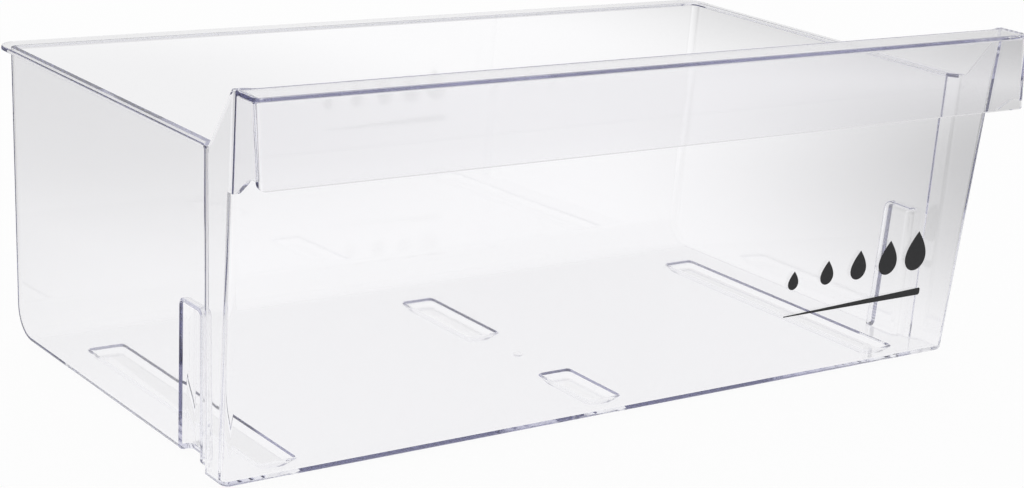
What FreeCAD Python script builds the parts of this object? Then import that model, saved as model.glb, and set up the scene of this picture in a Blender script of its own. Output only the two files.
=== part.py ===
import FreeCAD
import Part
import math
import os

# Fridge crisper drawer: one clear moulded shell with a hooded pull across its front.
# Millimetres. X runs across the drawer, Y from the front to the back, Z up.
# While it is drawn, y = 0 is the panel's outer face at the handle top and z = 0 the floor's underside.

# Driving dimensions: the tub
front_width = 460.0        # outer width of the front section at floor level
side_step = 4.6            # how far the front section stands out past each side wall
body_depth = 232.0         # panel to back wall, outside, at floor level
rim_height = 154.5         # floor underside to the top of the rim
wall = 2.4                 # side walls, back wall, panel and handle
floor_thickness = 2.4
side_draft = 2.0           # degrees, side walls lean out
back_draft = 1.0           # degrees, back wall leans out
back_corner_radius = 5.0   # upright back corners, outside
back_floor_radius = 18.0   # back wall to floor, outside
side_floor_radius = 3.2    # side walls to floor, outside

# Driving dimensions: the rim
side_rim_width = 3.9       # how far the rim stands out past the side walls
back_rim_width = 9.0       # how far the rim stands out past the back wall
rim_corner_radius = 12.0   # back corners of the rim, seen from above
rim_thickness = 2.3
rim_edge_radius = 0.9

# Driving dimensions: the front section
handle_height = 185.0      # floor underside to the handle top
panel_tilt = 2.8           # degrees, the panel leans forward at its top
strip_depth = 15.9         # panel to step at floor level
strip_lean = 1.0           # degrees, the step leans back at its top
step_run = 6.0             # length over which the step slants in to the side wall
front_corner_radius = 4.5  # panel to side strips, outside
front_floor_radius = 2.0   # panel to floor, outside
gusset_foot = 4.2          # level stretch of strip between the step and the gusset
gusset_foot_radius = 5.0
step_edge_radius = 5.0     # upright edge between strip and step, outside

# Driving dimensions: the hooded handle
handle_reach = 16.8        # panel to the lip's outer face, at the handle top
lip_height = 39.7          # handle top to the lip's lower edge
lip_flare = 5.8            # degrees, the lip leans forward at its lower edge
lip_corner_radius = 2.6    # upright corners between lip and end caps, outside
lip_lower_radius = 3.8     # lower corners of the lip, seen from the front
handle_edge_radius = 0.6   # top front and end edges, outside
handle_back_radius = 3.0   # top back edge, where the handle top bends down into the panel
handle_back_runout = 6.0   # length over which that rounding runs out beside each gusset
gap_corner_radius = 0.8    # upright corners of the finger gap, inside
gap_edge_radius = 0.8      # ceiling of the finger gap, inside
cap_arch = 35.6            # handle top to the end cap's edge beside the lip
cap_foot = 46.0            # handle top to the end cap's edge beside the panel
cap_bend_front = 5.6       # level stretch of that edge behind the lip
cap_bend_back = 2.4        # level stretch of that edge in front of the panel
cap_bend_radius = 6.0

# Driving dimensions: the stop grooves in the side walls
groove_setback = 6.7       # step to groove, at floor level
groove_width = 21.2        # at floor level
groove_depth = 7.0
groove_height = 74.0
groove_draft = 0.7         # degrees, the groove narrows upward
groove_radius = 2.5
groove_wall = 1.5          # wall round the grooves

# Driving dimensions: the hollow skids under the floor
skid_drop = 3.4
skid_width = 20.0          # mouth of the hollow, inside the drawer
skid_slope = 42.0          # degrees from upright
skid_corner_radius = 3.0   # upright edges of the hollow
side_skid_inset = 32.4     # side wall to the middle of a side skid, at floor level
side_skid_front = 15.0     # panel to the front end of a side skid
side_skid_back = 43.8      # back wall to the back end of a side skid
middle_skid_front = 16.6   # panel to the front end of the short front skid
middle_skid_back = 42.8    # back wall to the back end of the short back skid
front_skid_length = 43.5
back_skid_length = 66.0

# Driving dimensions: the moulding gate under the floor
gate_diameter = 5.0
gate_height = 0.8

# Modelling aids: how far cutting blocks run past a face, and how closely edges are matched
overrun = 10.0
tolerance = 0.01

# Directions on the right-hand half
INWARD = FreeCAD.Vector(-1, 0, 0)
FORWARD = FreeCAD.Vector(0, -1, 0)
DOWNWARD = FreeCAD.Vector(0, 0, -1)

# Worked-out slopes and places
side_slope = math.tan(math.radians(side_draft))
back_slope = math.tan(math.radians(back_draft))
tilt_slope = math.tan(math.radians(panel_tilt))
strip_slope = math.tan(math.radians(strip_lean))
flare_slope = math.tan(math.radians(lip_flare))
groove_slope = math.tan(math.radians(groove_draft))
skid_run = math.tan(math.radians(skid_slope))

side_wall_x = wall / math.cos(math.radians(side_draft))
panel_y = wall / math.cos(math.radians(panel_tilt))
step_y = wall * math.tan(math.atan2(side_step, step_run) / 2)
lip_y = wall / math.cos(math.radians(lip_flare))

front_half = front_width / 2
tub_half = front_half - side_step
panel_foot = handle_height * tilt_slope
strip_foot = panel_foot + strip_depth
step_foot = strip_foot + step_run
back_foot = panel_foot + body_depth
clear_height = handle_height + overrun


def panel_face(z):
    """Place of the panel's outer face at a height."""
    return (handle_height - z) * tilt_slope


def strip_face(z):
    """Place of the strip's rear edge at a height."""
    return strip_foot + z * strip_slope


def step_face(z):
    """Place where the step meets the side wall, outside, at a height."""
    return strip_face(z) + step_run


def step_inner_face(z):
    """Place where the step meets the side wall, inside, at a height."""
    return step_face(z) - step_y


def back_face(z):
    """Place of the back wall's outer face at a height."""
    return back_foot + z * back_slope


def lip_face(z):
    """Place of the lip's outer face at a height."""
    return -handle_reach - (handle_height - z) * flare_slope


def rim_back():
    """Place of the rim's back edge."""
    return back_face(rim_height) + back_rim_width


def tub_side(z):
    """Half width of the tub, outside, at a height."""
    return tub_half + z * side_slope


def front_side(z):
    """Half width of the front section, outside, at a height."""
    return front_half + z * side_slope


front_limit = lip_face(0) - overrun
rear_limit = back_face(clear_height) + overrun


def front_inner_side(z):
    """Half width of the front section, inside, at a height."""
    return front_side(z) - side_wall_x


def rounded_outline(corners):
    """Closed wire through (position, radius) corners, a radius of 0 leaving a sharp corner."""
    starts = []
    ends = []
    crowns = []
    count = len(corners)
    for index, (corner, radius) in enumerate(corners):
        toward = (corners[index - 1][0] - corner).normalize()
        onward = (corners[(index + 1) % count][0] - corner).normalize()
        half_angle = toward.getAngle(onward) / 2
        setback = radius / math.tan(half_angle)
        crown_reach = radius / math.sin(half_angle) - radius
        starts.append(corner + toward * setback)
        ends.append(corner + onward * setback)
        crowns.append(corner + (toward + onward).normalize() * crown_reach)
    edges = []
    for index, (corner, radius) in enumerate(corners):
        if radius > 0:
            edges.append(Part.Arc(starts[index], crowns[index], ends[index]).toShape())
        following = starts[(index + 1) % count]
        if not ends[index].isEqual(following, 1e-6):
            edges.append(Part.makeLine(ends[index], following))
    return Part.Wire(edges)


def beside_corner(corner, one_way, other_way, radius):
    """Outline of what rounding a corner removes, running past the two faces that leave the corner."""
    return rounded_outline([
        (corner + one_way * radius, 0),
        (corner + (one_way - other_way) * radius, 0),
        (corner - (one_way + other_way) * radius, 0),
        (corner + (other_way - one_way) * radius, 0),
        (corner + other_way * radius, 0),
        (corner, radius),
    ])


def across(outline, left, right):
    """Solid from a side-view outline of (y, z, radius) corners, drawn from left to right."""
    corners = [(FreeCAD.Vector(left, y, z), radius) for y, z, radius in outline]
    return Part.Face(rounded_outline(corners)).extrude(FreeCAD.Vector(right - left, 0, 0))


def lengthwise(outline, front, back):
    """Solid from a front-view outline of (x, z, radius) corners, drawn from front to back."""
    corners = [(FreeCAD.Vector(x, front, z), radius) for x, z, radius in outline]
    return Part.Face(rounded_outline(corners)).extrude(FreeCAD.Vector(0, back - front, 0))


def upward(outline, bottom, top):
    """Solid from a plan outline of (x, y, radius) corners, drawn upward."""
    corners = [(FreeCAD.Vector(x, y, bottom), radius) for x, y, radius in outline]
    return Part.Face(rounded_outline(corners)).extrude(FreeCAD.Vector(0, 0, top - bottom))


def between_sides(half_at, bottom, top, front, back):
    """Block between two leaning side planes whose half width at a height is given."""
    outline = [
        (-half_at(bottom), bottom, 0),
        (half_at(bottom), bottom, 0),
        (half_at(top), top, 0),
        (-half_at(top), top, 0),
    ]
    return lengthwise(outline, front, back)


def mirrored(shape):
    """Copy of a shape on the other side of the drawer."""
    return shape.mirror(FreeCAD.Vector(0, 0, 0), FreeCAD.Vector(1, 0, 0))


def in_runs(edges):
    """Start and end of each numbered edge, in the direction of the first edge of its unbroken run."""
    waiting = {}
    for number, edge in edges:
        waiting[number] = (edge.valueAt(edge.FirstParameter), edge.valueAt(edge.LastParameter))
    placed = []
    while waiting:
        first = min(waiting)
        run = [(first, *waiting.pop(first))]
        for _, start, end in run:
            for number, (one, other) in list(waiting.items()):
                if one.isEqual(end, tolerance) or other.isEqual(start, tolerance):
                    run.append((number, one, other))
                    del waiting[number]
                elif other.isEqual(end, tolerance) or one.isEqual(start, tolerance):
                    run.append((number, other, one))
                    del waiting[number]
        placed += run
    return placed


def rounded(shape, chosen, radius_at):
    """Round the chosen edges, the radius at each end of an edge following from where that end is."""
    edges = [(number, edge) for number, edge in enumerate(shape.Edges, start=1) if chosen(edge)]
    document = FreeCAD.newDocument("rounding")
    base = document.addObject("Part::Feature", "base")
    base.Shape = shape
    fillet = document.addObject("Part::Fillet", "fillet")
    fillet.Base = base
    fillet.Edges = [(number, radius_at(start), radius_at(end)) for number, start, end in in_runs(edges)]
    document.recompute()
    result = fillet.Shape.copy()
    FreeCAD.closeDocument(document.Name)
    return result


def evenly_rounded(shape, chosen, radius):
    """Round the chosen edges with one radius."""
    return rounded(shape, chosen, lambda point: radius)


def step_waste(side_at, rear_at, radius):
    """Waste beside the slanting step, on the right, from a side plane and the step's rear end."""
    outlines = []
    for z in (-wall, rim_height + wall):
        near = FreeCAD.Vector(side_at(z), rear_at(z) - step_run, z)
        far = FreeCAD.Vector(side_at(z) - side_step, rear_at(z), z)
        outlines.append(rounded_outline([
            (near + FORWARD * radius, 0),
            (near, radius),
            (far, 0),
            (far - FORWARD * overrun, 0),
            (near - FORWARD * (step_run + overrun) - INWARD * overrun, 0),
            (near + FORWARD * radius - INWARD * overrun, 0),
        ]))
    return Part.makeLoft(outlines, True, True)


def spans(edge, low, high):
    """Whether an edge reaches from one height to another."""
    box = edge.BoundBox
    return abs(box.ZMin - low) < tolerance and abs(box.ZMax - high) < tolerance


def tub_block(inset, bottom, top, front):
    """Leaning block of the tub, rounded at its upright back corners and along its floor."""
    corner = back_corner_radius - inset
    floor_edge = side_floor_radius - inset
    floor_arc = back_floor_radius - inset
    side_inset = inset / math.cos(math.radians(side_draft))
    back_inset = inset / math.cos(math.radians(back_draft))
    outline = [
        (front, bottom, 0),
        (back_face(bottom) - back_inset, bottom, floor_arc),
        (back_face(top) - back_inset, top, 0),
        (front, top, 0),
    ]
    block = across(outline, -front_width, front_width)
    block = block.common(between_sides(lambda z: tub_side(z) - side_inset, bottom, top, front, rear_limit))

    def along_a_side(edge):
        box = edge.BoundBox
        level_at_top = box.ZMin > top - tolerance
        return box.XLength < tub_half and box.YMax > front + tolerance and not level_at_top

    return rounded(block, along_a_side, lambda point: floor_edge if point.z < bottom + tolerance else corner)


def front_block():
    """Outer form of the front section: panel, side strips with gussets, and the hooded handle."""
    arch = handle_height - cap_arch
    foot = handle_height - cap_foot
    lip_low = handle_height - lip_height
    outline = [
        (panel_face(0), 0, 0),
        (step_face(0), 0, 0),
        (step_face(rim_height), rim_height, 0),
        (strip_face(rim_height) - gusset_foot, rim_height, gusset_foot_radius),
        (panel_y, handle_height, 0),
        (lip_face(handle_height), handle_height, 0),
        (lip_face(lip_low), lip_low, 0),
        (lip_face(lip_low) + lip_y, lip_low, 0),
        (lip_face(arch) + lip_y, arch, 0),
        (lip_face(arch) + lip_y + cap_bend_front, arch, cap_bend_radius),
        (panel_face(foot) - cap_bend_back, foot, cap_bend_radius),
        (panel_face(foot), foot, 0),
    ]
    block = across(outline, -front_width, front_width)
    block = block.common(between_sides(front_side, 0, handle_height, front_limit, rear_limit))

    block = evenly_rounded(block, lambda edge: spans(edge, 0, foot), front_corner_radius)
    block = evenly_rounded(block, lambda edge: spans(edge, lip_low, handle_height), lip_corner_radius)

    def under_the_front(edge):
        return spans(edge, 0, 0) and edge.BoundBox.YMin < step_foot - tolerance

    def floor_radius_at(point):
        return front_floor_radius if point.y < panel_face(0) + tolerance else side_floor_radius

    def round_the_top(edge):
        return spans(edge, handle_height, handle_height) and edge.BoundBox.YMin < panel_y - tolerance

    block = rounded(block, under_the_front, floor_radius_at)
    block = evenly_rounded(block, round_the_top, handle_edge_radius)
    waste = step_waste(front_side, step_face, step_edge_radius)
    return block.cut([waste, mirrored(waste), handle_back_waste()])


def handle_back_waste():
    """Waste of rounding the handle's top back edge, running out to nothing beside the gussets."""
    end = front_inner_side(handle_height) - front_corner_radius + wall
    inner_end = end - handle_back_runout
    outlines = []
    for x, radius in [
        (-end, tolerance),
        (-inner_end, handle_back_radius),
        (inner_end, handle_back_radius),
        (end, tolerance),
    ]:
        corner = FreeCAD.Vector(x, panel_y, handle_height)
        outlines.append(beside_corner(corner, FORWARD, DOWNWARD, radius))
    return Part.makeLoft(outlines, True, True)


def front_hollow():
    """Space inside the front section, between panel, strips and step."""
    outline = [
        (panel_face(floor_thickness) + panel_y, floor_thickness, 0),
        (step_inner_face(floor_thickness), floor_thickness, 0),
        (step_inner_face(clear_height), clear_height, 0),
        (panel_face(clear_height) + panel_y, clear_height, 0),
    ]
    block = across(outline, -front_width, front_width)
    sides = between_sides(front_inner_side, floor_thickness, clear_height, front_limit, rear_limit)
    block = block.common(sides)
    corner = front_corner_radius - wall
    floor_edge = side_floor_radius - wall

    def upright(edge):
        return spans(edge, floor_thickness, clear_height) and edge.CenterOfMass.y < panel_foot

    def round_the_floor(edge):
        at_step = edge.BoundBox.YMin > step_inner_face(floor_thickness) - tolerance
        return spans(edge, floor_thickness, floor_thickness) and not at_step

    block = evenly_rounded(block, upright, corner)
    block = evenly_rounded(block, round_the_floor, floor_edge)
    waste = step_waste(front_inner_side, step_inner_face, step_edge_radius - wall)
    return block.cut([waste, mirrored(waste)])


def finger_gap():
    """Space behind the lip, under the handle top and between the end caps."""
    ceiling = handle_height - wall
    low = handle_height - cap_foot - overrun
    outline = [
        (panel_face(low), low, 0),
        (panel_face(ceiling), ceiling, 0),
        (lip_face(ceiling) + lip_y, ceiling, 0),
        (lip_face(low) + lip_y, low, 0),
    ]
    block = across(outline, -front_width, front_width)
    block = block.common(between_sides(front_inner_side, low, ceiling, front_limit, rear_limit))

    def upright(edge):
        return spans(edge, low, ceiling) and edge.CenterOfMass.y < -handle_reach / 2

    block = evenly_rounded(block, upright, gap_corner_radius)
    return evenly_rounded(block, lambda edge: spans(edge, ceiling, ceiling), gap_edge_radius)


def lip_corner_waste():
    """Waste outside the rounded lower corner of the lip, on the right."""
    low = handle_height - lip_height
    corner = FreeCAD.Vector(front_side(low + lip_lower_radius), front_limit, low)
    outline = beside_corner(corner, INWARD, -DOWNWARD, lip_lower_radius)
    length = lip_face(low) + lip_y + wall / 2 - front_limit
    return Part.Face(outline).extrude(FreeCAD.Vector(0, length, 0))


def rim_plate():
    """Rim standing out round the top of the tub, ending in the step at the front."""
    bottom = rim_height - rim_thickness
    side = tub_side(rim_height) + side_rim_width
    front = strip_face(bottom)
    back = rim_back()
    corner = rim_corner_radius
    outline = [(-side, front, 0), (side, front, 0), (side, back, corner), (-side, back, corner)]
    plate = upward(outline, bottom, rim_height)

    def round_the_outside(edge):
        return edge.BoundBox.ZLength < tolerance and edge.BoundBox.YMax > front + tolerance

    return evenly_rounded(plate, round_the_outside, rim_edge_radius)


def groove_block(margin):
    """Stop groove in the right wall, open at the floor, grown on every side by a margin."""
    low = -skid_drop - overrun
    top = groove_height + margin
    front = step_foot + groove_setback - margin
    back = step_foot + groove_setback + groove_width + margin
    reach = groove_depth + margin
    side_view = [
        (front + low * groove_slope, low, 0),
        (back - low * groove_slope, low, 0),
        (back - top * groove_slope, top, 0),
        (front + top * groove_slope, top, 0),
    ]
    front_view = [
        (tub_side(low) - reach, low, 0),
        (front_half + overrun, low, 0),
        (front_half + overrun, top, 0),
        (tub_side(top) - reach, top, 0),
    ]
    block = across(side_view, 0, front_width).common(lengthwise(front_view, front_limit, rear_limit))

    def inward_or_at_the_top(edge):
        box = edge.BoundBox
        inward = box.XMax < tub_side(top) - reach + tolerance
        return box.ZMax > top - tolerance and (inward or box.XLength > reach)

    return evenly_rounded(block, inward_or_at_the_top, groove_radius + margin)


def skid_block(middle_x, front, back, growth, bottom, top):
    """Block of a skid with leaning sides, its mouth at the floor's upper face, grown by a margin."""

    def lean(z):
        return (floor_thickness - z) * skid_run - growth

    side_view = [
        (front + lean(bottom), bottom, 0),
        (back - lean(bottom), bottom, 0),
        (back - lean(top), top, 0),
        (front + lean(top), top, 0),
    ]
    half = skid_width / 2
    front_view = [
        (middle_x - half + lean(bottom), bottom, 0),
        (middle_x + half - lean(bottom), bottom, 0),
        (middle_x + half - lean(top), top, 0),
        (middle_x - half + lean(top), top, 0),
    ]
    block = across(side_view, -front_width, front_width)
    block = block.common(lengthwise(front_view, front_limit, rear_limit))
    return evenly_rounded(block, lambda edge: spans(edge, bottom, top), skid_corner_radius + growth)


def skid_places():
    """Middle line, front end and back end of each skid."""
    side_x = tub_half - side_skid_inset
    side_ends = (panel_foot + side_skid_front, back_foot - side_skid_back)
    front_start = panel_foot + middle_skid_front
    back_end = back_foot - middle_skid_back
    return [
        (-side_x, *side_ends),
        (side_x, *side_ends),
        (0, front_start, front_start + front_skid_length),
        (0, back_end - back_skid_length, back_end),
    ]


def gate_mark(places):
    """Round vestige where the plastic entered, midway between the two short skids."""
    front_skid_end = places[2][2]
    back_skid_start = places[3][1]
    foot = FreeCAD.Vector(0, (front_skid_end + back_skid_start) / 2, -gate_height)
    return Part.makeCylinder(gate_diameter / 2, gate_height + floor_thickness / 2, foot)


def drawer():
    """The whole moulding: outer forms joined, then the hollows taken out."""
    places = skid_places()
    sole_growth = floor_thickness / math.cos(math.radians(skid_slope))
    soles = [skid_block(*place, sole_growth, -skid_drop, floor_thickness / 2) for place in places]
    outside = tub_block(0, 0, rim_height, step_foot - wall / 2)
    outside = outside.fuse([front_block(), rim_plate(), gate_mark(places), *soles])

    groove = groove_block(0)
    bump = groove_block(groove_wall)
    tub_hollow = tub_block(wall, floor_thickness, clear_height, step_foot - strip_depth / 2)
    tub_hollow = tub_hollow.cut([bump, mirrored(bump)])
    skid_bottom = floor_thickness - skid_drop
    skid_top = floor_thickness + wall
    hollows = [skid_block(*place, 0, skid_bottom, skid_top) for place in places]
    for block in (groove, lip_corner_waste()):
        hollows += [block, mirrored(block)]
    hollows += [tub_hollow, front_hollow(), finger_gap()]
    shell = outside.cut(hollows).removeSplitter()
    middle_y = (lip_face(handle_height - lip_height) + rim_back()) / 2
    shell.translate(FreeCAD.Vector(0, -middle_y, skid_drop))
    return shell


os.makedirs("parts", exist_ok=True)
drawer().exportStep("parts/crisper_drawer.step")
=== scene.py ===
import math

import bmesh
import bpy
from mathutils import Matrix, Vector


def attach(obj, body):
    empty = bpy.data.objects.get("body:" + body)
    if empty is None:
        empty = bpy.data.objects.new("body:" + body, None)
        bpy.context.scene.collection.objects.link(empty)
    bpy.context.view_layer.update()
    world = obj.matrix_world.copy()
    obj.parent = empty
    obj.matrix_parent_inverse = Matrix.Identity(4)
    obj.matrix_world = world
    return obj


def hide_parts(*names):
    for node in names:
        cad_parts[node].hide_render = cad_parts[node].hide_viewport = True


bl_info = {
    "name": "Fridge crisper drawer",
    "version": (1, 0, 0),
    "blender": (4, 5, 0),
    "location": "View3D > Sidebar > Drawer",
    "description": "Dresses the packed drawer in clear moulded plastic with a panel print, in a plain studio",
    "category": "Object",
}

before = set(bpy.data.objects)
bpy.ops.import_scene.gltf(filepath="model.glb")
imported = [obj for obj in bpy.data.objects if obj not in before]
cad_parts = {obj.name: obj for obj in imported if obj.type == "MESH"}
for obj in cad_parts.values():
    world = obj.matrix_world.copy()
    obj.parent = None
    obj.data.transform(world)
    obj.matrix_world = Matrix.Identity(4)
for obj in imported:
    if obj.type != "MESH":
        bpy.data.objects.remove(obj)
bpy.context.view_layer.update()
drawer_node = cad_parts["crisper_drawer"]


class PlasticFinish(bpy.types.PropertyGroup):
    """Clear moulded plastic of the drawer"""
    sheet_tint: bpy.props.FloatVectorProperty(
        name="Sheet tint", description="Share of light that one wall lets through",
        subtype="COLOR", default=(0.996, 0.994, 1.0), min=0, max=1)
    depth_tint: bpy.props.FloatVectorProperty(
        name="Depth tint", description="Colour that long ways inside the plastic turn to",
        subtype="COLOR", default=(0.20, 0.20, 0.48), min=0, max=1)
    depth_density: bpy.props.FloatProperty(
        name="Depth density", description="How fast the plastic takes its depth tint, per metre",
        default=5.0, min=0)
    refraction: bpy.props.FloatProperty(
        name="Refraction", description="Index of refraction of clear polystyrene", default=1.59, min=1)
    gloss_low: bpy.props.FloatProperty(
        name="Roughness, polished", description="Roughness where the mould was polished best",
        subtype="FACTOR", default=0.012, min=0, max=1)
    gloss_high: bpy.props.FloatProperty(
        name="Roughness, dulled", description="Roughness where handling has dulled it",
        subtype="FACTOR", default=0.035, min=0, max=1)
    ripple_width: bpy.props.FloatProperty(
        name="Ripple width", description="Size of the faint flow ripples left by moulding",
        unit="LENGTH", default=0.045, min=0.001)
    ripple_height: bpy.props.FloatProperty(
        name="Ripple height", description="Height of the flow ripples",
        unit="LENGTH", default=0.00004, min=0)
    weld_distance: bpy.props.FloatProperty(
        name="Weld distance", description="Points nearer than this are one point",
        unit="LENGTH", default=0.000002, min=0, precision=6)
    crease_angle: bpy.props.FloatProperty(
        name="Crease angle", description="Edges that bend more than this stay crisp",
        unit="ROTATION", default=math.radians(28), min=0)


class PanelPrint(bpy.types.PropertyGroup):
    """Plain humidity scale printed on the front panel"""
    ink_colour: bpy.props.FloatVectorProperty(
        name="Ink colour", description="Dark grey of the print",
        subtype="COLOR", default=(0.012, 0.012, 0.014), min=0, max=1)
    ink_gloss: bpy.props.FloatProperty(
        name="Ink gloss", description="Strength of the ink's gloss",
        subtype="FACTOR", default=0.3, min=0, max=1)
    first_x: bpy.props.FloatProperty(
        name="Left end", description="Left end of the scale, from the drawer's middle",
        unit="LENGTH", default=0.102)
    last_x: bpy.props.FloatProperty(
        name="Right end", description="Right end of the scale, from the drawer's middle",
        unit="LENGTH", default=0.203)
    drop_foot: bpy.props.FloatProperty(
        name="Drop height", description="Height of the drops' lower ends",
        unit="LENGTH", default=0.055)
    small_drop: bpy.props.FloatProperty(
        name="Smallest drop", description="Radius of the smallest drop", unit="LENGTH", default=0.0036)
    large_drop: bpy.props.FloatProperty(
        name="Largest drop", description="Radius of the largest drop", unit="LENGTH", default=0.0078)
    drop_tip: bpy.props.FloatProperty(
        name="Drop tip", description="How far a drop's tip is drawn up from its round, in radii", default=0.9)
    drop_tip_spread: bpy.props.FloatProperty(
        name="Drop tip spread", description="How far round the tip a drop is drawn with it, in radii",
        default=1.5)
    drop_count: bpy.props.IntProperty(
        name="Drops", description="Number of drops in the scale", default=5, min=2)
    wedge_height: bpy.props.FloatProperty(
        name="Wedge height", description="Height of the wedge under the drops",
        unit="LENGTH", default=0.0042)
    wedge_foot: bpy.props.FloatProperty(
        name="Wedge place", description="Height of the wedge's lower edge", unit="LENGTH", default=0.040)
    wedge_taper: bpy.props.FloatProperty(
        name="Wedge taper", description="Share of its height that the wedge loses to the left",
        subtype="FACTOR", default=0.86, min=0, max=1)
    wedge_rounding: bpy.props.FloatProperty(
        name="Wedge rounding", description="Rounding of the wedge's high end, as a share of its height",
        subtype="FACTOR", default=0.3, min=0, max=1)
    ink_thickness: bpy.props.FloatProperty(
        name="Ink thickness", description="Thickness of the printed ink",
        unit="LENGTH", default=0.00006, precision=6)
    ink_lift: bpy.props.FloatProperty(
        name="Ink lift", description="Gap between the plastic and the ink's back",
        unit="LENGTH", default=0.00002, precision=6)


class Studio(bpy.types.PropertyGroup):
    """Pale floor, soft light and camera"""
    floor_size: bpy.props.FloatProperty(
        name="Floor size", description="Length of the floor's sides", unit="LENGTH", default=12)
    floor_colour: bpy.props.FloatVectorProperty(
        name="Floor colour", description="Paper floor under the drawer",
        subtype="COLOR", default=(0.92, 0.92, 0.92), min=0, max=1)
    floor_roughness: bpy.props.FloatProperty(
        name="Floor roughness", description="Roughness of the paper", subtype="FACTOR",
        default=0.9, min=0, max=1)
    floor_white: bpy.props.FloatProperty(
        name="Floor white", description="Share of plain white where the floor is looked at",
        subtype="FACTOR", default=0.95, min=0, max=1)
    front_gloss: bpy.props.FloatProperty(
        name="Front gloss", description="Brightness of the room behind the camera, as gloss shows it",
        subtype="FACTOR", default=0.85, min=0, max=1)
    front_start: bpy.props.FloatProperty(
        name="Front start", description="How far a direction points back where the room is dimmest",
        default=-0.4, min=-1, max=1)
    front_end: bpy.props.FloatProperty(
        name="Front end", description="How far a direction points back where the room is white",
        default=0.5, min=-1, max=1)
    # The grey and pale patches below are painted shade in the floor's glow. Only the plastic's reflections
    # and refractions show them, and no card stands in the studio.
    shade_patch_level: bpy.props.FloatProperty(
        name="Card level", description="Brightness of the grey cards round the drawer, in the plastic",
        subtype="FACTOR", default=0.38, min=0, max=1)
    shade_patch_core: bpy.props.FloatProperty(
        name="Card core", description="Part of a card's reach that is evenly grey", default=0.5, min=0)
    shade_patch_edge: bpy.props.FloatProperty(
        name="Card edge", description="Where a card has faded into the white paper, in reaches",
        default=1.5, min=0)
    left_shade_patch: bpy.props.FloatVectorProperty(
        name="Left card", description="Middle of the grey card on the left", subtype="TRANSLATION",
        default=(-0.76, 0.55, 0))
    left_shade_patch_reach: bpy.props.FloatVectorProperty(
        name="Left card reach", description="Half width and half depth of the left card",
        subtype="TRANSLATION", default=(0.5, 0.55, 1))
    right_shade_patch: bpy.props.FloatVectorProperty(
        name="Right card", description="Middle of the grey card on the right", subtype="TRANSLATION",
        default=(0.84, -0.05, 0))
    right_shade_patch_reach: bpy.props.FloatVectorProperty(
        name="Right card reach", description="Half width and half depth of the right card",
        subtype="TRANSLATION", default=(0.45, 0.4, 1))
    front_shade_patch: bpy.props.FloatVectorProperty(
        name="Front card", description="Middle of the grey card in front", subtype="TRANSLATION",
        default=(1.2, -2.6, 0))
    front_shade_patch_reach: bpy.props.FloatVectorProperty(
        name="Front card reach", description="Half width and half depth of the front card",
        subtype="TRANSLATION", default=(3, 1.2, 1))
    corner_shade_patch: bpy.props.FloatVectorProperty(
        name="Corner card", description="Middle of the grey card behind on the right", subtype="TRANSLATION",
        default=(1.6, 0.75, 0))
    corner_shade_patch_reach: bpy.props.FloatVectorProperty(
        name="Corner card reach", description="Half width and half depth of the corner card",
        subtype="TRANSLATION", default=(0.7, 0.7, 1))
    back_shade_patch: bpy.props.FloatVectorProperty(
        name="Back card", description="Middle of the pale card behind the drawer", subtype="TRANSLATION",
        default=(-0.02, 0.62, 0))
    back_shade_patch_reach: bpy.props.FloatVectorProperty(
        name="Back card reach", description="Half width and half depth of the back card",
        subtype="TRANSLATION", default=(0.3, 0.3, 1))
    back_shade_patch_level: bpy.props.FloatProperty(
        name="Back card level", description="Brightness of the pale card behind the drawer, in the plastic",
        subtype="FACTOR", default=0.9, min=0, max=1)
    camera_place: bpy.props.FloatVectorProperty(
        name="Camera place", description="Where the camera stands", subtype="TRANSLATION",
        default=(-0.692108, -0.913839, 0.395965))
    camera_turn: bpy.props.FloatVectorProperty(
        name="Camera turn", description="Turn to the right, tilt up and roll to the left",
        subtype="EULER", default=(math.radians(35.842), math.radians(-15.405), math.radians(3.925)))
    camera_sensor: bpy.props.FloatProperty(
        name="Picture width", description="Width of the picture in the camera, in millimetres", default=36)
    camera_lens: bpy.props.FloatProperty(
        name="Lens", description="Focal length of the lens, in millimetres", default=78.59)
    camera_shift: bpy.props.FloatVectorProperty(
        name="Shift", description="Shift of the picture against the lens", size=2, default=(0.0495, -0.0359))
    camera_reach: bpy.props.FloatProperty(
        name="Camera reach", description="How far the camera sees", unit="LENGTH", default=50)
    bounces: bpy.props.IntProperty(
        name="Bounces", description="How often light may turn on its way along a sheet to its edge",
        default=256, min=0)


def deselect():
    """Leave nothing selected."""
    if bpy.context.mode != "OBJECT":
        bpy.ops.object.mode_set(mode="OBJECT")
    bpy.ops.object.select_all(action="DESELECT")


def take(piece):
    """Select one piece alone and make it active."""
    deselect()
    piece.select_set(True)
    bpy.context.view_layer.objects.active = piece


def select_points(piece, wanted):
    """In edit mode, select the points for which a test of their place holds."""
    mesh = bmesh.from_edit_mesh(piece.data)
    bpy.ops.mesh.select_all(action="DESELECT")
    for point in mesh.verts:
        point.select_set(wanted(point.co))
    mesh.select_flush(True)
    bmesh.update_edit_mesh(piece.data)


def new_material(name):
    """Empty node material with its shader and output joined."""
    material = bpy.data.materials.new(name)
    material.use_nodes = True
    tree = material.node_tree
    tree.nodes.clear()
    output = tree.nodes.new("ShaderNodeOutputMaterial")
    shader = tree.nodes.new("ShaderNodeBsdfPrincipled")
    tree.links.new(shader.outputs["BSDF"], output.inputs["Surface"])
    return material, tree, shader, output


def noise_on(tree, places, scale, detail, roughness=0.5):
    """Noise pattern on a piece's own coordinates."""
    noise = tree.nodes.new("ShaderNodeTexNoise")
    noise.inputs["Scale"].default_value = scale
    noise.inputs["Detail"].default_value = detail
    noise.inputs["Roughness"].default_value = roughness
    tree.links.new(places.outputs["Object"], noise.inputs["Vector"])
    return noise


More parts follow.
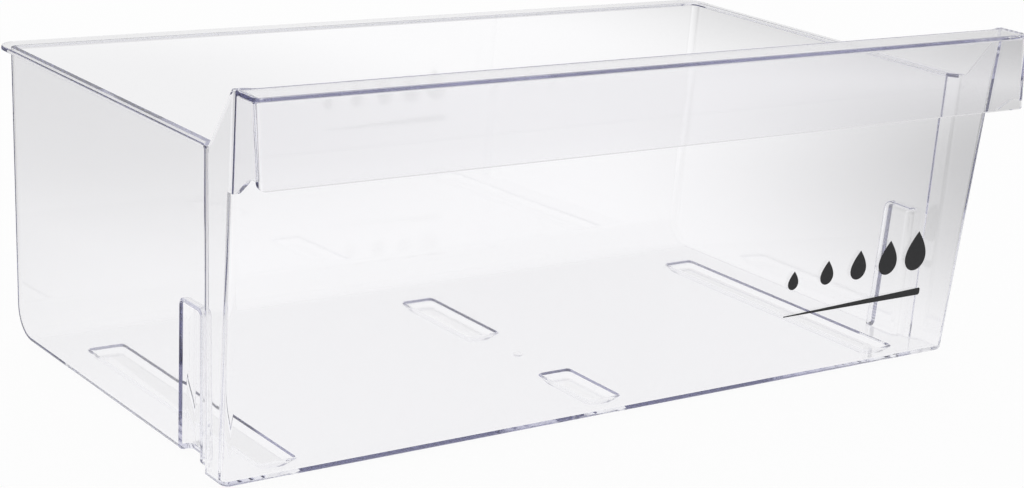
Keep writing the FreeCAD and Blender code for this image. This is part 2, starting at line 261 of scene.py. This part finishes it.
def mapped(tree, pattern, low, high, from_low=0.3, from_high=0.7):
    """Stretch the usual range of a noise pattern to run between two values."""
    reach = tree.nodes.new("ShaderNodeMapRange")
    reach.inputs["From Min"].default_value = from_low
    reach.inputs["From Max"].default_value = from_high
    reach.inputs["To Min"].default_value = low
    reach.inputs["To Max"].default_value = high
    tree.links.new(pattern.outputs[0], reach.inputs["Value"])
    return reach


def bumped(tree, shader, pattern, distance):
    """Raise a shader's surface by a pattern."""
    bump = tree.nodes.new("ShaderNodeBump")
    bump.inputs["Distance"].default_value = distance
    bump.inputs["Strength"].default_value = 1
    tree.links.new(pattern.outputs[0], bump.inputs["Height"])
    tree.links.new(bump.outputs["Normal"], shader.inputs["Normal"])


def clear_plastic(finish):
    """Clear polystyrene: nearly colourless through a wall, violet along it, with faint flow ripples."""
    material, tree, shader, output = new_material("clear_plastic")
    shader.inputs["Base Color"].default_value = (*finish.sheet_tint, 1)
    shader.inputs["Transmission Weight"].default_value = 1
    shader.inputs["IOR"].default_value = finish.refraction
    places = tree.nodes.new("ShaderNodeTexCoord")
    handling = noise_on(tree, places, scale=18, detail=5, roughness=0.6)
    gloss = mapped(tree, handling, low=finish.gloss_low, high=finish.gloss_high)
    tree.links.new(gloss.outputs[0], shader.inputs["Roughness"])
    ripples = noise_on(tree, places, scale=1 / finish.ripple_width, detail=1)
    bumped(tree, shader, ripples, distance=finish.ripple_height)
    depth = tree.nodes.new("ShaderNodeVolumeAbsorption")
    depth.inputs["Color"].default_value = (*finish.depth_tint, 1)
    depth.inputs["Density"].default_value = finish.depth_density
    tree.links.new(depth.outputs[0], output.inputs["Volume"])
    return material


def printed_ink(settings):
    """Screen-printed ink: dark, half matt, slightly uneven in cover."""
    material, tree, shader, _ = new_material("printed_ink")
    places = tree.nodes.new("ShaderNodeTexCoord")
    cover = noise_on(tree, places, scale=900, detail=3)
    thick_cover = 0.85
    thin_cover = 1.2
    shade = tree.nodes.new("ShaderNodeMix")
    shade.data_type = "RGBA"
    shade.inputs["A"].default_value = (*(thick_cover * part for part in settings.ink_colour), 1)
    shade.inputs["B"].default_value = (*(thin_cover * part for part in settings.ink_colour), 1)
    tree.links.new(cover.outputs[0], shade.inputs["Factor"])
    tree.links.new(shade.outputs["Result"], shader.inputs["Base Color"])
    shader.inputs["Specular IOR Level"].default_value = settings.ink_gloss
    sheen = mapped(tree, cover, low=0.32, high=0.5)
    tree.links.new(sheen.outputs[0], shader.inputs["Roughness"])
    grain = noise_on(tree, places, scale=2500, detail=2)
    bumped(tree, shader, grain, distance=0.00001)
    return material


class CRISPER_OT_shell(bpy.types.Operator):
    """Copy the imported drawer, weld it, smooth its rounded edges and make it of clear plastic"""
    bl_idname = "crisper.shell"
    bl_label = "Drawer shell"

    def execute(self, context):
        finish = context.scene.crisper_plastic
        take(drawer_node)
        bpy.ops.object.duplicate(linked=False)
        shell = context.view_layer.objects.active
        shell.name = "drawer_shell"
        for key in list(shell.keys()):
            del shell[key]
        bpy.ops.object.mode_set(mode="EDIT")
        bpy.ops.mesh.select_all(action="SELECT")
        bpy.ops.mesh.remove_doubles(threshold=finish.weld_distance)
        bpy.ops.mesh.select_all(action="SELECT")
        bpy.ops.mesh.customdata_custom_splitnormals_clear()
        bpy.ops.object.mode_set(mode="OBJECT")
        bpy.ops.object.shade_smooth_by_angle(angle=finish.crease_angle)
        flats = shell.modifiers.new("flat_faces", "WEIGHTED_NORMAL")
        flats.mode = "FACE_AREA"
        flats.weight = 100
        flats.keep_sharp = True
        bpy.ops.object.modifier_apply(modifier=flats.name)
        shell.data.materials.clear()
        shell.data.materials.append(clear_plastic(finish))
        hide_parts("crisper_drawer")
        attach(shell, "root")
        return {"FINISHED"}


class CRISPER_OT_print(bpy.types.Operator):
    """Print a plain humidity scale of growing drops and a wedge low on the right of the panel"""
    bl_idname = "crisper.print"
    bl_label = "Panel print"

    def drop(self, settings, radius, x):
        """One drop, standing up in the plane of the print: a disc whose top is drawn up to a tip."""
        z = settings.drop_foot
        deselect()
        bpy.ops.mesh.primitive_circle_add(
            vertices=48, radius=radius, fill_type="NGON", location=(x, 0, z + radius),
            rotation=(math.radians(90), 0, 0))
        piece = bpy.context.view_layer.objects.active
        bpy.ops.object.transform_apply()
        bpy.ops.object.mode_set(mode="EDIT")
        below_top = z + 2 * radius - radius / 200
        select_points(piece, lambda place: place.z > below_top)
        bpy.ops.transform.translate(
            value=(0, 0, radius * settings.drop_tip), use_proportional_edit=True,
            proportional_edit_falloff="SHARP", proportional_size=radius * settings.drop_tip_spread)
        bpy.ops.object.mode_set(mode="OBJECT")
        return piece

    def wedge(self, settings):
        """Long wedge that grows to the right, with rounded corners at its high end."""
        left, right = settings.first_x, settings.last_x
        height = settings.wedge_height
        middle = (left + right) / 2
        half_way_up = settings.wedge_foot + height / 2
        deselect()
        bpy.ops.mesh.primitive_plane_add(
            size=1, location=(middle, 0, half_way_up), rotation=(math.radians(90), 0, 0))
        piece = bpy.context.view_layer.objects.active
        piece.scale = (right - left, height, 1)
        bpy.ops.object.transform_apply()
        bpy.ops.object.mode_set(mode="EDIT")
        select_points(piece, lambda place: place.x < middle and place.z > half_way_up)
        bpy.ops.transform.translate(value=(0, 0, -height * settings.wedge_taper))
        select_points(piece, lambda place: place.x > middle)
        bpy.ops.mesh.bevel(offset=height * settings.wedge_rounding, segments=6, affect="VERTICES")
        bpy.ops.object.mode_set(mode="OBJECT")
        return piece

    def execute(self, context):
        settings = context.scene.crisper_print
        shell = bpy.data.objects["drawer_shell"]
        span = settings.last_x - settings.first_x
        pieces = [self.wedge(settings)]
        for step in range(settings.drop_count):
            share = step / (settings.drop_count - 1)
            radius = settings.small_drop + (settings.large_drop - settings.small_drop) * share
            x = settings.first_x + radius + (span - 2 * radius) * share
            pieces.append(self.drop(settings, radius, x))
        deselect()
        for piece in pieces:
            piece.select_set(True)
        context.view_layer.objects.active = pieces[0]
        bpy.ops.object.join()
        ink = context.view_layer.objects.active
        ink.name = "panel_print"

        in_front = Vector(((settings.first_x + settings.last_x) / 2, -1, settings.drop_foot))
        found, place, normal, _ = shell.ray_cast(in_front, Vector((0, 1, 0)))
        if not found:
            raise RuntimeError("the print finds no panel to sit on")
        lean = math.atan2(-normal.z, -normal.y)
        turn = Matrix.Rotation(lean, 4, "X")
        start = Vector((0, 0, settings.drop_foot))
        goal = Vector((0, place.y, place.z)) + normal * settings.ink_lift
        ink.matrix_world = Matrix.Translation(goal) @ turn @ Matrix.Translation(-start)
        bpy.ops.object.transform_apply()
        layer = ink.modifiers.new("ink", "SOLIDIFY")
        layer.thickness = settings.ink_thickness
        layer.offset = 1
        bpy.ops.object.modifier_apply(modifier=layer.name)
        bpy.ops.object.shade_flat()
        ink.data.materials.clear()
        ink.data.materials.append(printed_ink(settings))
        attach(ink, "root")
        return {"FINISHED"}


class CRISPER_OT_studio(bpy.types.Operator):
    """Lay a pale floor, light the room softly and stand the camera where the photograph was taken"""
    bl_idname = "crisper.studio"
    bl_label = "Studio"

    def joined(self, tree, operation, first, second):
        """One value from two."""
        result = tree.nodes.new("ShaderNodeMath")
        result.operation = operation
        tree.links.new(first, result.inputs[0])
        tree.links.new(second, result.inputs[1])
        return result.outputs[0]

    def level(self, tree, test, otherwise):
        """Full white where a test holds, and another level elsewhere."""
        level = tree.nodes.new("ShaderNodeMix")
        level.inputs["B"].default_value = 1
        tree.links.new(test, level.inputs["Factor"])
        tree.links.new(otherwise, level.inputs["A"])
        return level.outputs["Result"]

    def shade_patch(self, tree, places, studio, middle, reach, level):
        """Painted reflected shade: brightness of the floor's glow round a darker patch, soft at its edge,
        seen only in the plastic's reflections and refractions.
        """
        centred = tree.nodes.new("ShaderNodeMapping")
        centred.vector_type = "TEXTURE"
        centred.inputs["Location"].default_value = middle
        centred.inputs["Scale"].default_value = reach
        tree.links.new(places.outputs["Object"], centred.inputs["Vector"])
        away = tree.nodes.new("ShaderNodeVectorMath")
        away.operation = "LENGTH"
        tree.links.new(centred.outputs[0], away.inputs[0])
        dim = tree.nodes.new("ShaderNodeMapRange")
        dim.interpolation_type = "SMOOTHSTEP"
        dim.inputs["From Min"].default_value = studio.shade_patch_core
        dim.inputs["From Max"].default_value = studio.shade_patch_edge
        dim.inputs["To Min"].default_value = level
        dim.inputs["To Max"].default_value = 1
        tree.links.new(away.outputs["Value"], dim.inputs["Value"])
        return dim.outputs[0]

    def floor(self, studio):
        """White paper, with patches of painted shade in its glow that only the plastic's reflections and
        refractions show.
        """
        deselect()
        bpy.ops.mesh.primitive_plane_add(size=studio.floor_size, location=(0, 0, 0))
        floor = bpy.context.view_layer.objects.active
        floor.name = "paper_floor"
        material, tree, shader, output = new_material("paper_floor")
        shader.inputs["Base Color"].default_value = (*studio.floor_colour, 1)
        shader.inputs["Roughness"].default_value = studio.floor_roughness
        shader.inputs["Specular IOR Level"].default_value = 0
        places = tree.nodes.new("ShaderNodeTexCoord")
        left_shade_patch = (studio.left_shade_patch, studio.left_shade_patch_reach, studio.shade_patch_level)
        other_shade_patches = (
            (studio.right_shade_patch, studio.right_shade_patch_reach, studio.shade_patch_level),
            (studio.front_shade_patch, studio.front_shade_patch_reach, studio.shade_patch_level),
            (studio.corner_shade_patch, studio.corner_shade_patch_reach, studio.shade_patch_level),
            (studio.back_shade_patch, studio.back_shade_patch_reach, studio.back_shade_patch_level),
        )
        # Painted reflected shade: the floor's glow is dimmed in these patches for gloss and refraction rays
        # only.
        painted_shade_level = self.shade_patch(tree, places, studio, *left_shade_patch)
        for shade_patch in other_shade_patches:
            painted_shade_level = self.joined(tree, "MINIMUM", painted_shade_level, self.shade_patch(tree, places, studio, *shade_patch))
        path = tree.nodes.new("ShaderNodeLightPath")
        looking = path.outputs["Is Camera Ray"]
        gloss = path.outputs["Is Glossy Ray"]
        through = path.outputs["Is Transmission Ray"]
        white = tree.nodes.new("ShaderNodeEmission")
        # Camera rays see plain white, while gloss and refraction rays see the patches of painted shade.
        tree.links.new(self.level(tree, looking, painted_shade_level), white.inputs["Strength"])
        seen = self.joined(tree, "MAXIMUM", looking, self.joined(tree, "MAXIMUM", gloss, through))
        share = tree.nodes.new("ShaderNodeMath")
        share.operation = "MULTIPLY"
        share.inputs[1].default_value = studio.floor_white
        tree.links.new(seen, share.inputs[0])
        mix = tree.nodes.new("ShaderNodeMixShader")
        tree.links.new(share.outputs[0], mix.inputs[0])
        tree.links.new(shader.outputs["BSDF"], mix.inputs[1])
        tree.links.new(white.outputs[0], mix.inputs[2])
        tree.links.new(mix.outputs[0], output.inputs["Surface"])
        floor.data.materials.append(material)

    def room(self, scene, studio):
        """White room all round, whose front end is dimmer in gloss."""
        world = bpy.data.worlds.new("studio_room")
        scene.world = world
        world.use_nodes = True
        tree = world.node_tree
        tree.nodes.clear()
        output = tree.nodes.new("ShaderNodeOutputWorld")
        walls = tree.nodes.new("ShaderNodeBackground")
        places = tree.nodes.new("ShaderNodeTexCoord")
        parts = tree.nodes.new("ShaderNodeSeparateXYZ")
        front = tree.nodes.new("ShaderNodeMapRange")
        front.interpolation_type = "SMOOTHSTEP"
        front.inputs["From Min"].default_value = studio.front_start
        front.inputs["From Max"].default_value = studio.front_end
        front.inputs["To Min"].default_value = studio.front_gloss
        front.inputs["To Max"].default_value = 1
        tree.links.new(places.outputs["Generated"], parts.inputs[0])
        tree.links.new(parts.outputs["Y"], front.inputs["Value"])
        path = tree.nodes.new("ShaderNodeLightPath")
        plain = tree.nodes.new("ShaderNodeMath")
        plain.operation = "SUBTRACT"
        plain.inputs[0].default_value = 1
        tree.links.new(path.outputs["Is Glossy Ray"], plain.inputs[1])
        tree.links.new(self.level(tree, plain.outputs[0], front.outputs[0]), walls.inputs["Strength"])
        tree.links.new(walls.outputs[0], output.inputs["Surface"])

    def camera(self, scene, studio):
        """Camera at the photograph's place, turned, tilted and rolled as it was."""
        lens = bpy.data.cameras.new("photo_camera")
        lens.lens = studio.camera_lens
        lens.sensor_width = studio.camera_sensor
        lens.shift_x, lens.shift_y = studio.camera_shift
        lens.clip_end = studio.camera_reach
        turn, tilt, roll = studio.camera_turn
        ahead = Vector((math.sin(turn) * math.cos(tilt), math.cos(turn) * math.cos(tilt), math.sin(tilt)))
        right = Vector((math.cos(turn), -math.sin(turn), 0))
        up = right.cross(ahead)
        across = right * math.cos(roll) + up * math.sin(roll)
        upward = up * math.cos(roll) - right * math.sin(roll)
        camera = bpy.data.objects.new("photo_camera", lens)
        scene.collection.objects.link(camera)
        axes = Matrix((across, upward, -ahead)).transposed().to_4x4()
        camera.matrix_world = Matrix.Translation(studio.camera_place) @ axes
        scene.camera = camera

    def execute(self, context):
        scene = context.scene
        studio = scene.crisper_studio
        self.floor(studio)
        self.room(scene, studio)
        self.camera(scene, studio)
        scene.view_settings.view_transform = "Standard"
        scene.cycles.max_bounces = studio.bounces
        scene.cycles.transmission_bounces = studio.bounces
        scene.cycles.glossy_bounces = studio.bounces
        return {"FINISHED"}


class CRISPER_PT_drawer(bpy.types.Panel):
    """Steps and values of the drawer"""
    bl_label = "Crisper drawer"
    bl_idname = "CRISPER_PT_drawer"
    bl_space_type = "VIEW_3D"
    bl_region_type = "UI"
    bl_category = "Drawer"

    def draw(self, context):
        scene = context.scene
        rows = [
            (CRISPER_OT_shell, scene.crisper_plastic),
            (CRISPER_OT_print, scene.crisper_print),
            (CRISPER_OT_studio, scene.crisper_studio),
        ]
        for operator, settings in rows:
            box = self.layout.box()
            box.operator(operator.bl_idname)
            for name in settings.__annotations__:
                box.prop(settings, name)


classes = (
    PlasticFinish,
    PanelPrint,
    Studio,
    CRISPER_OT_shell,
    CRISPER_OT_print,
    CRISPER_OT_studio,
    CRISPER_PT_drawer,
)


def register():
    for item in classes:
        bpy.utils.register_class(item)
    bpy.types.Scene.crisper_plastic = bpy.props.PointerProperty(type=PlasticFinish)
    bpy.types.Scene.crisper_print = bpy.props.PointerProperty(type=PanelPrint)
    bpy.types.Scene.crisper_studio = bpy.props.PointerProperty(type=Studio)


def unregister():
    del bpy.types.Scene.crisper_studio
    del bpy.types.Scene.crisper_print
    del bpy.types.Scene.crisper_plastic
    for item in reversed(classes):
        bpy.utils.unregister_class(item)


def main():
    register()
    bpy.ops.crisper.shell()
    bpy.ops.crisper.print()
    bpy.ops.crisper.studio()


if __name__ == "__main__":
    main()
